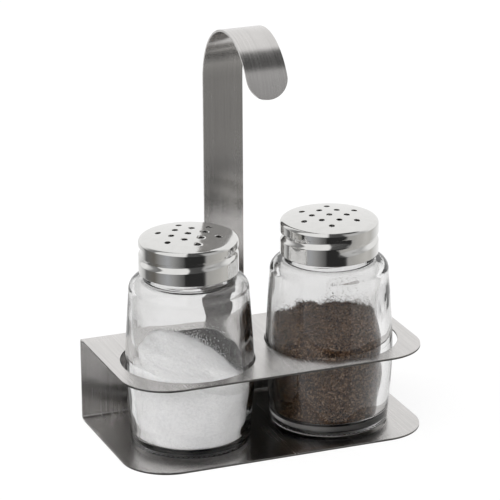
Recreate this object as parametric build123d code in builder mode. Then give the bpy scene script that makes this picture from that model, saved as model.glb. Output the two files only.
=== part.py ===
from build123d import *
from math import ceil, cos, radians, sin, sqrt
import os

# Salt and pepper caddy: a folded steel stand with a carrying hook and two glass shakers.
# Millimetres. +Z is up, the open side of the stand faces -Y, and the origin is on the surface
# that the stand rests on, below the middle of the whole caddy.

os.makedirs("parts", exist_ok=True)

# ---------------------------------------------------------------- driving dimensions: stand
stand_width = 120.0
stand_depth = 65.2
stand_height = 33.5
stand_sheet = 0.8
bend_radius = 1.8
corner_radius = 18.0
edge_break = 0.15
hole_radius = 25.5
hole_spacing = 58.6
hole_shift_y = -3.2

# ---------------------------------------------------------------- driving dimensions: hook handle
strap_width = 16.0
strap_sheet = 0.8
strap_shift_x = -0.4
strap_foot_z = 5.0
strap_foot_corner = 2.0
hook_radius = 24.4
hook_centre_z = 131.2
hook_sweep = 171.0
weld_spot_radius = 1.8
weld_spot_depth = 0.1
weld_spot_across = 8.0
weld_spot_up = 15.0

# ---------------------------------------------------------------- driving dimensions: glass bottle
bottle_foot_radius = 22.55
bottle_foot_round = 2.2
bottle_low_radius = 23.0
bottle_low_z = 5.5
bottle_belly_radius = 24.5
bottle_belly_z = 27.5
bottle_waist_radius = 23.9
bottle_waist_z = 43.0
bottle_shoulder_radius = 22.4
bottle_shoulder_z = 65.4
bottle_shoulder_round = 4.5
bottle_wall = 2.8
bottle_base = 3.4
bottle_inside_round = 2.6
bottle_inside_shoulder_round = 3.5
punt_depth = 0.8
punt_radius = 15.0
punt_flare = 45.0
neck_radius = 16.9
neck_wall = 2.7
neck_root_round = 0.5
lip_round = 0.7

# ---------------------------------------------------------------- driving dimensions: two-start thread
thread_starts = 2
thread_lead = 7.2
thread_fade = 30.0
thread_step = 12.0
thread_buried = 0.3
ridge_height = 0.8
ridge_root_width = 1.8
ridge_crest_width = 0.8
ridge_below_groove = 2.2
ridge_end_below_lip = 4.2
groove_turn = 212.0
groove_depth = 1.1
groove_start_above_rim = 5.7
groove_root_below = 2.6
groove_crest_below = 0.4
groove_crest_above = 0.4
groove_root_above = 0.9

# ---------------------------------------------------------------- driving dimensions: cap and seal
cap_radius = 18.75
cap_sheet = 0.4
cap_edge_round = 1.8
cap_dome_height = 1.6
cap_rim_gap = 2.4
cap_band_height = 13.05
cap_hem_height = 1.2
cap_hem_sheet = 0.25
cap_rim_round = 0.25
shaker_hole_radius = 1.05
shaker_hole_spacing = 6.65
shaker_holes_round = 6
seal_sheet = 0.8
seal_width = 2.6
seal_clear = 0.12

# ---------------------------------------------------------------- driving dimensions: contents
fill_clear = 0.15
salt_level = 30.9
salt_slope = 18.5
salt_high_side = 152.0
pepper_level = 39.1
pepper_slope = 5.2
pepper_high_side = 60.0

# how far each shaker stands inwards of its hole's middle, how its cap's groove and holes are turned,
# and how far round from the groove's start the glass ridge starts
shaker_lean_in = 0.8
salt_thread_turn = 156.0
salt_ridge_turn = 26.0
salt_hole_turn = 57.8
pepper_thread_turn = -112.0
pepper_ridge_turn = -30.0
pepper_hole_turn = 41.8

# ---------------------------------------------------------------- places that follow from the sizes
wall_outside_y = (stand_depth + strap_sheet) / 2 - strap_sheet
wall_inside_y = wall_outside_y - stand_sheet
front_y = wall_outside_y - stand_depth
top_inside_z = stand_height - stand_sheet
hole_y = (wall_outside_y + front_y) / 2 + hole_shift_y
shaker_x = hole_spacing / 2 - shaker_lean_in
strap_outside_y = wall_outside_y + strap_sheet
hook_centre_y = strap_outside_y - hook_radius
weld_z = (strap_foot_z + stand_height) / 2

shoulder_z = stand_sheet + bottle_shoulder_z
neck_bore = neck_radius - neck_wall
cap_inside = cap_radius - cap_sheet
cap_rim_z = shoulder_z + cap_rim_gap
cap_crease_z = cap_rim_z + cap_band_height
dome_radius = (cap_radius**2 + cap_dome_height**2) / 2 / cap_dome_height
dome_centre_z = cap_crease_z + cap_dome_height - dome_radius
ceiling_radius = dome_radius - cap_sheet
seal_outside = neck_bore + seal_width
seal_top_z = dome_centre_z + sqrt(ceiling_radius**2 - seal_outside**2) - seal_clear
lip_z = seal_top_z - seal_sheet - seal_clear

ridge_pitch = thread_lead / thread_starts
ridge_end_z = lip_z - ridge_end_below_lip
groove_first_z = cap_rim_z + groove_start_above_rim
ridge_widths = (ridge_root_width / 2, ridge_crest_width / 2, ridge_crest_width / 2, ridge_root_width / 2)
groove_widths = (groove_root_below, groove_crest_below, groove_crest_above, groove_root_above)


def weld_marks(plane):
    """The four round marks that the welding electrodes leave on a sheet's face."""
    with BuildSketch(plane) as marks:
        with GridLocations(weld_spot_across, weld_spot_up, 2, 2):
            Circle(weld_spot_radius)
    return marks.sketch


# ---------------------------------------------------------------- stand: one folded sheet
with BuildPart() as stand_body:
    with BuildSketch(Plane.YZ):
        with BuildLine():
            FilletPolyline(
                (front_y, 0),
                (wall_outside_y, 0),
                (wall_outside_y, stand_height),
                (front_y, stand_height),
                radius=bend_radius,
            )
            Line((front_y, stand_height), (front_y, top_inside_z))
            FilletPolyline(
                (front_y, top_inside_z),
                (wall_inside_y, top_inside_z),
                (wall_inside_y, stand_sheet),
                (front_y, stand_sheet),
                radius=bend_radius - stand_sheet,
            )
            Line((front_y, stand_sheet), (front_y, 0))
        make_face()
    extrude(amount=stand_width / 2, both=True)
    fillet(stand_body.edges().filter_by(Axis.Z).group_by(Axis.Y)[0], corner_radius)
    with BuildSketch(Plane.XY.offset(top_inside_z)):
        with Locations((-hole_spacing / 2, hole_y), (hole_spacing / 2, hole_y)):
            Circle(hole_radius)
    extrude(amount=stand_sheet, mode=Mode.SUBTRACT)
    hole_rims = stand_body.edges().filter_by(GeomType.CIRCLE)
    hole_rims = hole_rims.filter_by(lambda edge: abs(edge.radius - hole_radius) < 0.001)
    fillet(hole_rims, edge_break)
    wall_face = Plane(origin=(strap_shift_x, wall_inside_y, weld_z), x_dir=(1, 0, 0), z_dir=(0, -1, 0))
    extrude(weld_marks(wall_face), amount=-weld_spot_depth, mode=Mode.SUBTRACT)
stand_body.part.label = "stand_body"
export_step(stand_body.part, "parts/stand_body.step")

# ---------------------------------------------------------------- hook handle: one bent strap
tip_radius = hook_radius - strap_sheet / 2
tip_angle = radians(hook_sweep) - strap_width / 2 / tip_radius
tip_y = hook_centre_y + tip_radius * cos(tip_angle)
tip_z = hook_centre_z + tip_radius * sin(tip_angle)
tip_plane = Plane(
    origin=(strap_shift_x, tip_y, tip_z), x_dir=(1, 0, 0), z_dir=(0, cos(tip_angle), sin(tip_angle))
)

with BuildPart() as hook_handle:
    with BuildSketch(Plane.YZ.offset(strap_shift_x)):
        with BuildLine():
            outside = CenterArc((hook_centre_y, hook_centre_z), hook_radius, 0, hook_sweep)
            inside = CenterArc((hook_centre_y, hook_centre_z), hook_radius - strap_sheet, 0, hook_sweep)
            Line(outside @ 1, inside @ 1)
            Polyline(
                outside @ 0,
                (strap_outside_y, strap_foot_z),
                (wall_outside_y, strap_foot_z),
                inside @ 0,
            )
        make_face()
    extrude(amount=strap_width / 2, both=True)
    foot_corners = hook_handle.edges().filter_by(Axis.Y).group_by(Axis.Z)[0]
    fillet(foot_corners, strap_foot_corner)
    with BuildSketch(tip_plane):
        with Locations((0, -strap_width)):
            Rectangle(2 * strap_width, 2 * strap_width)
        Circle(strap_width / 2, mode=Mode.SUBTRACT)
    extrude(amount=strap_width / 2, both=True, mode=Mode.SUBTRACT)
    strap_face = Plane(origin=(strap_shift_x, strap_outside_y, weld_z), x_dir=(-1, 0, 0), z_dir=(0, 1, 0))
    extrude(weld_marks(strap_face), amount=-weld_spot_depth, mode=Mode.SUBTRACT)
hook_handle.part.label = "hook_handle"
export_step(hook_handle.part, "parts/hook_handle.step")


# ---------------------------------------------------------------- what the shakers are drawn with
def shaker_plane(middle_x):
    """The upright plane through a shaker's axis: across is its radius, and up is the stand's up."""
    return Plane(origin=(middle_x, hole_y, 0), x_dir=(1, 0, 0), z_dir=(0, -1, 0))


def rim_edges(part, radius, height):
    """The whole circles of one radius at one height."""
    circles = part.edges().filter_by(GeomType.CIRCLE)
    circles = circles.filter_by(lambda edge: abs(edge.radius - radius) < 0.001)
    return circles.filter_by(lambda edge: abs(edge.center().Z - height) < 0.001)


def fade(turn, whole_turn):
    """How much of a thread's full height stands at this turn: it runs out at both ends."""
    return max(0.05, min(1.0, turn / thread_fade, (whole_turn - turn) / thread_fade))


def flanks(widths, height):
    """How far a bar's lower and upper sides spread per millimetre from its crest to its root."""
    root_below, crest_below, crest_above, root_above = widths
    return (root_below - crest_below) / abs(height), (root_above - crest_above) / abs(height)


def inner_widths(widths, height, sheet):
    """The widths of a groove's hollow, one sheet inside the bar of these widths."""
    below, above = flanks(widths, height)
    slim_below = sheet * (sqrt(1 + below**2) - below)
    slim_above = sheet * (sqrt(1 + above**2) - above)
    root_below, crest_below, crest_above, root_above = widths
    lower = (root_below - slim_below, crest_below - slim_below)
    return *lower, crest_above - slim_above, root_above - slim_above


def helical_bar(middle_x, start_turn, start_z, whole_turn, root, height, widths):
    """A climbing bar of four sides, on a cylinder of the root's radius. A height below 0 is inward."""
    steps = round(whole_turn / thread_step)
    below, above = flanks(widths, height)
    buried = -thread_buried if height > 0 else thread_buried
    with BuildPart() as bar:
        for step in range(steps + 1):
            turn = whole_turn * step / steps
            angle = radians(start_turn + turn)
            crest = height * fade(turn, whole_turn)
            section = Plane(
                origin=(middle_x, hole_y, start_z + turn / 360 * thread_lead),
                x_dir=(cos(angle), sin(angle), 0),
                z_dir=(sin(angle), -cos(angle), 0),
            )
            with BuildSketch(section):
                with BuildLine():
                    Polyline(
                        (root + buried, -widths[0] - below * thread_buried),
                        (root + crest, below * abs(crest) - widths[0]),
                        (root + crest, widths[3] - above * abs(crest)),
                        (root + buried, widths[3] + above * thread_buried),
                        close=True,
                    )
                make_face()
        loft()
    return bar.part


def revolved_side(middle_x, inset, floor_z, shoulder_round):
    """The bottle's body from a flat floor to its flat shoulder, drawn in by an even inset."""
    top_z = shoulder_z - inset
    with BuildPart() as body:
        with BuildSketch(shaker_plane(middle_x)):
            with BuildLine():
                side = Spline(
                    (bottle_foot_radius - inset, stand_sheet),
                    (bottle_low_radius - inset, stand_sheet + bottle_low_z),
                    (bottle_belly_radius - inset, stand_sheet + bottle_belly_z),
                    (bottle_waist_radius - inset, stand_sheet + bottle_waist_z),
                    (bottle_shoulder_radius - inset, top_z),
                )
                Polyline(side @ 1, (0, top_z), (0, stand_sheet), side @ 0)
            make_face()
        revolve(axis=Axis((middle_x, hole_y, 0), (0, 0, 1)))
        fillet(rim_edges(body.part, bottle_shoulder_radius - inset, top_z), shoulder_round)
        if floor_z > stand_sheet:
            split(bisect_by=Plane.XY.offset(floor_z), keep=Keep.TOP)
        foot = body.edges().group_by(Axis.Z)[0]
        fillet(foot, bottle_foot_round if inset == 0 else bottle_inside_round)
    return body.part


def ridge_start(ridge_turn):
    """The height at which a ridge starts: the first turn of its line that is below the cap's rim."""
    line_z = groove_first_z + ridge_turn / 360 * thread_lead - ridge_below_groove
    return line_z - ceil((line_z - cap_rim_z) / ridge_pitch) * ridge_pitch


def make_bottle(name, middle_x, thread_turn, ridge_turn):
    """One glass bottle: a belly, a rounded shoulder and a threaded neck, open at the top."""
    axis_point = (middle_x, hole_y)
    inside_top_z = shoulder_z - bottle_wall
    inside_floor_z = stand_sheet + bottle_base
    ridge_first_z = ridge_start(ridge_turn)
    ridge_whole_turn = (ridge_end_z - ridge_first_z) / thread_lead * 360
    with BuildPart() as bottle:
        add(revolved_side(middle_x, 0, stand_sheet, bottle_shoulder_round))
        with BuildSketch(Plane.XY.offset(shoulder_z)):
            with Locations(axis_point):
                Circle(neck_radius)
        extrude(amount=lip_z - shoulder_z)
        fillet(rim_edges(bottle.part, neck_radius, shoulder_z), neck_root_round)
        inside = revolved_side(middle_x, bottle_wall, inside_floor_z, bottle_inside_shoulder_round)
        add(inside, mode=Mode.SUBTRACT)
        with BuildSketch(Plane.XY.offset(inside_top_z)):
            with Locations(axis_point):
                Circle(neck_bore)
        extrude(amount=lip_z - inside_top_z, mode=Mode.SUBTRACT)
        lip = rim_edges(bottle.part, neck_radius, lip_z) + rim_edges(bottle.part, neck_bore, lip_z)
        fillet(lip, lip_round)
        with BuildSketch(Plane.XY.offset(stand_sheet)):
            with Locations(axis_point):
                Circle(punt_radius)
        extrude(amount=punt_depth, taper=punt_flare, mode=Mode.SUBTRACT)
        for start in range(thread_starts):
            start_turn = thread_turn + ridge_turn + 360 / thread_starts * start
            add(helical_bar(middle_x, start_turn, ridge_first_z, ridge_whole_turn,
                            neck_radius, ridge_height, ridge_widths))
    bottle.part.label = name
    export_step(bottle.part, f"parts/{name}.step")
    return bottle.part


def make_fill(name, middle_x, level, slope, high_side):
    """What a bottle holds: the space inside it up to a sloping surface, clear of the glass."""
    side = radians(high_side)
    tilt = radians(slope)
    surface = Plane(
        origin=(middle_x, hole_y, level),
        z_dir=(-cos(side) * sin(tilt), -sin(side) * sin(tilt), cos(tilt)),
    )
    inset = bottle_wall + fill_clear
    floor_z = stand_sheet + bottle_base + fill_clear
    with BuildPart() as fill:
        add(revolved_side(middle_x, inset, floor_z, bottle_inside_shoulder_round))
        split(bisect_by=surface, keep=Keep.BOTTOM)
    fill.part.label = name
    export_step(fill.part, f"parts/{name}.step")
    return fill.part


def make_seal(name, middle_x):
    """The soft ring between the bottle's lip and the cap."""
    with BuildPart() as seal:
        with BuildSketch(Plane.XY.offset(seal_top_z - seal_sheet)):
            with Locations((middle_x, hole_y)):
                Circle(seal_outside)
                Circle(neck_bore, mode=Mode.SUBTRACT)
        extrude(amount=seal_sheet)
    seal.part.label = name
    export_step(seal.part, f"parts/{name}.step")
    return seal.part


def domed_cylinder(middle_x, radius, sphere, bottom_z, edge_round):
    """A drum with a domed top, with its top edge rounded."""
    edge_z = dome_centre_z + sqrt(sphere**2 - radius**2)
    half = radius / 2
    with BuildPart() as drum:
        with BuildSketch(shaker_plane(middle_x)):
            with BuildLine():
                dome = ThreePointArc(
                    (radius, edge_z),
                    (half, dome_centre_z + sqrt(sphere**2 - half**2)),
                    (0, dome_centre_z + sphere),
                )
                Polyline(dome @ 1, (0, bottom_z), (radius, bottom_z), dome @ 0)
            make_face()
        revolve(axis=Axis((middle_x, hole_y, 0), (0, 0, 1)))
        fillet(rim_edges(drum.part, radius, edge_z), edge_round)
    return drum.part


def make_cap(name, middle_x, thread_turn, hole_turn):
    """One screw cap of thin sheet: a pierced dome, two bands and the rolled thread between them."""
    hem_inside = cap_inside - cap_hem_sheet
    hollow_widths = inner_widths(groove_widths, groove_depth, cap_sheet)
    with BuildPart() as cap:
        add(domed_cylinder(middle_x, cap_radius, dome_radius, cap_rim_z, cap_edge_round))
        hollow_z = cap_rim_z + cap_hem_height
        hollow_round = cap_edge_round - cap_sheet
        add(domed_cylinder(middle_x, cap_inside, ceiling_radius, hollow_z, hollow_round), mode=Mode.SUBTRACT)
        with BuildSketch(Plane.XY.offset(cap_rim_z)):
            with Locations((middle_x, hole_y)):
                Circle(hem_inside)
        extrude(amount=cap_hem_height, mode=Mode.SUBTRACT)
        rim = rim_edges(cap.part, cap_radius, cap_rim_z) + rim_edges(cap.part, hem_inside, cap_rim_z)
        fillet(rim, cap_rim_round)
        for start in range(thread_starts):
            start_turn = thread_turn + 360 / thread_starts * start
            add(helical_bar(middle_x, start_turn, groove_first_z, groove_turn,
                            cap_inside, -groove_depth, groove_widths))
        for start in range(thread_starts):
            start_turn = thread_turn + 360 / thread_starts * start
            add(helical_bar(middle_x, start_turn, groove_first_z, groove_turn,
                            cap_radius, -groove_depth, hollow_widths), mode=Mode.SUBTRACT)
        between = 180 / shaker_holes_round
        with BuildSketch(Plane.XY.offset(cap_crease_z - cap_sheet)):
            with Locations((middle_x, hole_y)):
                Circle(shaker_hole_radius)
                with PolarLocations(shaker_hole_spacing, shaker_holes_round, start_angle=hole_turn):
                    Circle(shaker_hole_radius)
                with PolarLocations(
                    shaker_hole_spacing * sqrt(3), shaker_holes_round, start_angle=hole_turn + between
                ):
                    Circle(shaker_hole_radius)
        extrude(amount=cap_dome_height + 2 * cap_sheet, mode=Mode.SUBTRACT)
    cap.part.label = name
    export_step(cap.part, f"parts/{name}.step")
    return cap.part


# ---------------------------------------------------------------- the two shakers
shakers = (
    ("salt", -shaker_x, salt_thread_turn, salt_ridge_turn, salt_hole_turn,
     (salt_level, salt_slope, salt_high_side)),
    ("pepper", shaker_x, pepper_thread_turn, pepper_ridge_turn, pepper_hole_turn,
     (pepper_level, pepper_slope, pepper_high_side)),
)
for name, middle_x, thread_turn, ridge_turn, hole_turn, heap in shakers:
    bottle = make_bottle(f"{name}_bottle", middle_x, thread_turn, ridge_turn)
    fill = make_fill(f"{name}_fill", middle_x, *heap)
    seal = make_seal(f"{name}_seal_ring", middle_x)
    cap = make_cap(f"{name}_cap", middle_x, thread_turn, hole_turn)
    for piece in (bottle, fill, seal, cap):
        print(piece.label, piece.is_valid, len(piece.solids()), round(piece.volume, 1))
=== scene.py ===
"""Looks for the salt and pepper caddy: a folded steel stand with a hooked strap, and two glass
shakers with screw caps. Lengths are written in millimetres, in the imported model's frame."""

import math

import bpy
import numpy as np
from mathutils import Matrix, Vector
from mathutils.geometry import delaunay_2d_cdt


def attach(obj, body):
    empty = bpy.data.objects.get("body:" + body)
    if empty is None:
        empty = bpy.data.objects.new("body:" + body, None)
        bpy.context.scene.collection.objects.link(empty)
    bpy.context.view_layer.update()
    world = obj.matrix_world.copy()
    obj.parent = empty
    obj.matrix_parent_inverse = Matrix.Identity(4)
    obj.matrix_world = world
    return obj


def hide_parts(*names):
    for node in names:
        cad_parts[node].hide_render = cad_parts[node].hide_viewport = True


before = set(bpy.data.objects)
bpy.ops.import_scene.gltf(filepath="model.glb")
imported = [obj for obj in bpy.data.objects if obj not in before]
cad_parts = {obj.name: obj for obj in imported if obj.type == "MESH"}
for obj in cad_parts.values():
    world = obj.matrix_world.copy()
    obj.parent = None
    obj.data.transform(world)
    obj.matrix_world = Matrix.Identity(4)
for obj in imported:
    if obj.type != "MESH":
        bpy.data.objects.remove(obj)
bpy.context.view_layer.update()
MM = 0.001
TURN = 2 * math.pi

# ------------------------------------------------------------------ sizes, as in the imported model
SHAKER_X = 28.5
HOLE_Y = -3.6
SHEET = 0.8
STAND_HEIGHT = 33.5

FOOT_Z = SHEET
# a bottle's side as radii and their heights above its foot
SIDE_CURVE = ((22.55, 0.0), (23.0, 5.5), (24.5, 27.5), (23.9, 43.0), (22.4, 65.4))
FOOT_ROUND = 2.2
SHOULDER_Z = FOOT_Z + SIDE_CURVE[-1][1]
SHOULDER_ROUND = 4.5
INSIDE_ROUND = 2.6
PUNT_RADIUS = 15.0
PUNT_DEPTH = 0.8
NECK_RADIUS = 16.9
NECK_BORE = 14.2
NECK_ROOT_ROUND = 0.5
LIP_ROUND = 0.7
SEAL_SHEET = 0.8
SEAL_WIDTH = 2.6
SEAL_CLEAR = 0.12

CAP_RADIUS = 18.75
CAP_SHEET = 0.4
CAP_RIM_Z = SHOULDER_Z + 2.4
CAP_CREASE_Z = CAP_RIM_Z + 13.05
CAP_EDGE_ROUND = 1.8
DOME_HEIGHT = 1.6
DOME_RADIUS = (CAP_RADIUS**2 + DOME_HEIGHT**2) / 2 / DOME_HEIGHT
DOME_CENTRE_Z = CAP_CREASE_Z + DOME_HEIGHT - DOME_RADIUS
CEILING_RADIUS = DOME_RADIUS - CAP_SHEET
SEAL_TOP_Z = DOME_CENTRE_Z + math.sqrt(CEILING_RADIUS**2 - (NECK_BORE + SEAL_WIDTH)**2) - SEAL_CLEAR
LIP_Z = SEAL_TOP_Z - SEAL_SHEET - SEAL_CLEAR
HEM_HEIGHT = 1.2
HEM_SHEET = 0.25
RIM_ROUND = 0.25
HOLE_SPACING = 6.65

THREAD_LEAD = 7.2
THREAD_FADE = 30.0
RIDGE_BELOW_GROOVE = 2.2
RIDGE_END_Z = LIP_Z - 4.2
# how far a thread's root and crest reach below and above its middle line
RIDGE = {"height": 0.8, "below": (0.9, 0.4), "above": (0.9, 0.4)}
GROOVE = {"turn": 212.0, "first_z": CAP_RIM_Z + 5.7, "height": 1.1, "below": (2.6, 0.4), "above": (0.9, 0.4)}

FILL_CLEAR = 0.15

# ------------------------------------------------------------------ the scene's own sizes
BEND_Y = 29.0                 # in front of this the stand's two plates are flat
CUT_LOW = 0.04                # the rougher cut edge, darkened with painted shade, shows from this height above its underside
CUT_HIGH = 0.5                # up to this one, and fades out above it
CUT_FADE = 0.68
CUT_TOP = 0.04                # the top face's own edge is kept free of the painted shade
FOOT_KNURLS = 72              # small ridges round a bottle's foot
KNURL_HEIGHT = 0.22
KNURL_RISE = (0.05, 0.4)      # the heights above the foot between which the ridges begin
KNURL_FADE = (1.2, 1.9)       # and those between which they end
SHOULDER_WALL = 1.4           # the glass is thinner there than at the bottle's side
INSIDE_SHOULDER_ROUND = 3.0
BORE_ROUND = 0.9
HOLE_RADIUS = 1.12
HOLE_EDGE = 0.08              # the small round at a hole's outer edge

# ------------------------------------------------------------------ what sets the two shakers apart
# a swell is where a heap's rim departs from an even slope: its angle, its width and its height.
# level and slope give the heap's plane, and slump is how far it has sunk at the front.
# cavity_shift moves a bottle's inside off its axis, wave is how uneven it is, and thinning is how
# much thinner the glass grows at the shoulder
SHAKERS = (
    {"name": "salt", "x": -SHAKER_X, "thread_turn": 156.0, "ridge_turn": 26.0, "hole_turn": 57.8,
     "level": 30.9, "slope": 18.5, "high_side": 152.0,
     "swells": ((175.0, 20.0, -2.0), (-112.0, 28.0, 1.3), (28.0, 14.0, -1.0), (98.0, 18.0, 0.8),
                (-17.0, 22.0, 3.4)), "slump": 0.9,
     "wall": 2.9, "base": 2.5, "cavity_shift": (0.0, 0.0), "thinning": 1.0, "wave": 0.45, "seed": 11},
    {"name": "pepper", "x": SHAKER_X, "thread_turn": -112.0, "ridge_turn": -30.0, "hole_turn": 41.8,
     "level": 39.1, "slope": 5.2, "high_side": 60.0,
     "swells": ((73.0, 3.5, -1.4), (108.0, 14.0, -1.3), (45.0, 40.0, -0.7), (-22.0, 30.0, 4.4),
                (150.0, 24.0, 2.8)), "slump": 1.5,
     "wall": 3.3, "base": 3.6, "cavity_shift": (-0.7, 0.3), "thinning": 0.5, "wave": 0.25, "seed": 23},
)

# ------------------------------------------------------------------ camera, at the photo's angle
CAMERA_SIDE = -111.6          # the direction, seen from above, in which the camera stands
CAMERA_LENS = 225.4
CAMERA_AZIMUTH = -21.562
CAMERA_ELEVATION = 19.381
CAMERA_DISTANCE = 1179.9
CAMERA_ROLL = -0.3
CAMERA_TARGET = (-2.557, -0.4, 72.093)


def place_camera():
    azimuth = math.radians(CAMERA_AZIMUTH)
    elevation = math.radians(CAMERA_ELEVATION)
    roll = math.radians(CAMERA_ROLL)
    back = Vector((math.sin(azimuth) * math.cos(elevation), -math.cos(azimuth) * math.cos(elevation),
                   math.sin(elevation)))
    right = Vector((0, 0, 1)).cross(back).normalized()
    up = back.cross(right)
    rolled_right = right * math.cos(roll) + up * math.sin(roll)
    rolled_up = up * math.cos(roll) - right * math.sin(roll)
    place = (Vector(CAMERA_TARGET) + back * CAMERA_DISTANCE) * MM
    lens = bpy.data.cameras.new("camera")
    lens.lens = CAMERA_LENS
    lens.sensor_width = 36.0
    lens.clip_end = 20.0
    camera = bpy.data.objects.new("camera", lens)
    bpy.context.scene.collection.objects.link(camera)
    turned = Matrix((rolled_right, rolled_up, back)).transposed().to_4x4()
    camera.matrix_world = Matrix.Translation(place) @ turned
    bpy.context.scene.camera = camera


place_camera()


# ------------------------------------------------------------------ node helpers
def rgba(tone):
    """A colour socket's value, from a grey tone or from red, green and blue."""
    return (*tone, 1.0) if isinstance(tone, tuple) else (tone, tone, tone, 1.0)


class Tree:
    """A short way to write a node tree."""

    def __init__(self, owner):
        owner.use_nodes = True
        self.tree = owner.node_tree
        self.tree.nodes.clear()

    def node(self, kind, links=(), **settings):
        """A node. links gives its input sockets what feeds them: another node's output or a value."""
        made = self.tree.nodes.new(kind)
        for key, value in settings.items():
            setattr(made, key, value)
        for socket, value in dict(links).items():
            target = made.inputs[socket]
            if isinstance(value, bpy.types.NodeSocket):
                self.tree.links.new(value, target)
            else:
                target.default_value = value
        return made

    def math(self, operation, *values):
        return self.node("ShaderNodeMath", enumerate(values), operation=operation).outputs[0]

    def smooth(self, value, low, high, out_low=0.0, out_high=1.0):
        """out_low up to low and out_high from high on, with a smooth step between. low may be the larger."""
        made = self.node("ShaderNodeMapRange", {0: value, 1: low, 2: high, 3: out_low, 4: out_high},
                         interpolation_type="SMOOTHSTEP")
        return made.outputs[0]

    def ramp(self, value, stops):
        """A colour for each value. stops are places from 0 to 1, in order, each with its tone."""
        made = self.node("ShaderNodeValToRGB", {0: value})
        stops_held = made.color_ramp.elements
        while len(stops_held) < len(stops):
            stops_held.new(0.5)
        for held, (place, _) in zip(stops_held, stops):
            held.position = place
        for held, (_, tone) in zip(stops_held, stops):
            held.color = rgba(tone)
        return made.outputs[0]

    def mix(self, factor, a, b):
        """The colour a where the factor is 0 and b where it is 1."""
        made = self.node("ShaderNodeMix", data_type="RGBA", clamp_factor=True)
        for socket, value in ((made.inputs[0], factor), (made.inputs[6], a), (made.inputs[7], b)):
            if isinstance(value, bpy.types.NodeSocket):
                self.tree.links.new(value, socket)
            elif socket.type == "RGBA":
                socket.default_value = rgba(value)
            else:
                socket.default_value = value
        return made.outputs[2]

    def noise(self, vector, scale, detail, roughness):
        made = self.node("ShaderNodeTexNoise", {"Vector": vector, "Scale": scale, "Detail": detail,
                                                "Roughness": roughness})
        return made.outputs["Fac"]

    def object_point(self, stretch=(1000.0, 1000.0, 1000.0)):
        """The surface point in the part's own frame, stretched. At 1000 it is in millimetres."""
        point = self.node("ShaderNodeTexCoord").outputs["Object"]
        return self.node("ShaderNodeMapping", {"Vector": point, "Scale": stretch}).outputs[0]

    def surface(self, shader):
        """Makes a shader the tree's result."""
        of_world = isinstance(self.tree.id_data, bpy.types.World)
        out = self.tree.nodes.new("ShaderNodeOutputWorld" if of_world else "ShaderNodeOutputMaterial")
        self.tree.links.new(shader, out.inputs["Surface"])


# ------------------------------------------------------------------ materials
def cut_edge_and_shade(t):
    """How much of the sheet's cut edge shows on the rims of the stand's two plates, from 0 to 1. It is made
    rougher there and darkened with painted shade.
    """
    _, y, z = t.node("ShaderNodeSeparateXYZ", {0: t.object_point()}).outputs
    cut_and_shade = 0.0
    for under in (0.0, STAND_HEIGHT - SHEET):
        inside = t.math("GREATER_THAN", z, under + CUT_LOW)
        faded = t.smooth(z, under + CUT_FADE, under + CUT_HIGH)
        cut_and_shade = t.math("ADD", cut_and_shade, t.math("MULTIPLY", inside, faded))
    cut_and_shade = t.math("MULTIPLY", cut_and_shade, t.math("LESS_THAN", z, STAND_HEIGHT - CUT_TOP))
    return t.math("MULTIPLY", cut_and_shade, t.math("LESS_THAN", y, BEND_Y))


def brushed_steel():
    """Satin stainless sheet. Its grain runs along the folded profile, so it varies across x."""
    material = bpy.data.materials.new("brushed_stainless")
    t = Tree(material)
    fine = t.noise(t.object_point((3600.0, 50.0, 50.0)), 1.0, 3.0, 0.6)
    coarse = t.noise(t.object_point((1100.0, 16.0, 16.0)), 1.0, 3.0, 0.6)
    cloud = t.noise(t.object_point((55.0, 55.0, 90.0)), 1.0, 3.0, 0.55)
    streak = t.math("ADD", t.math("MULTIPLY", fine, 0.45), t.math("MULTIPLY", coarse, 0.55))
    colour = t.ramp(t.math("ADD", t.math("MULTIPLY", streak, 0.7), t.math("MULTIPLY", cloud, 0.3)),
                    ((0.34, (0.545, 0.531, 0.520)), (0.66, (0.70, 0.683, 0.669))))
    roughness = t.smooth(t.math("ADD", t.math("MULTIPLY", streak, 0.6), t.math("MULTIPLY", cloud, 0.4)),
                         0.35, 0.65, 0.20, 0.28)
    cut_and_shade = cut_edge_and_shade(t)
    # painted shade: the cut edges are darkened as if they mirrored the shadowed table just beneath them;
    # their added roughness is the edge's own
    colour = t.mix(cut_and_shade, colour, (0.17, 0.165, 0.16))
    roughness = t.math("ADD", roughness, t.math("MULTIPLY", cut_and_shade, 0.2))
    bump = t.node("ShaderNodeBump", {"Height": fine, "Strength": 0.05, "Distance": 0.00003})
    across = t.node("ShaderNodeCombineXYZ", {"X": 1.0, "Y": 0.0, "Z": 0.0})
    shader = t.node("ShaderNodeBsdfPrincipled", {"Base Color": colour, "Metallic": 1.0,
                                                 "Roughness": roughness, "Anisotropic": 0.75,
                                                 "Tangent": across.outputs[0],
                                                 "Normal": bump.outputs[0]})
    t.surface(shader.outputs[0])
    return material


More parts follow.
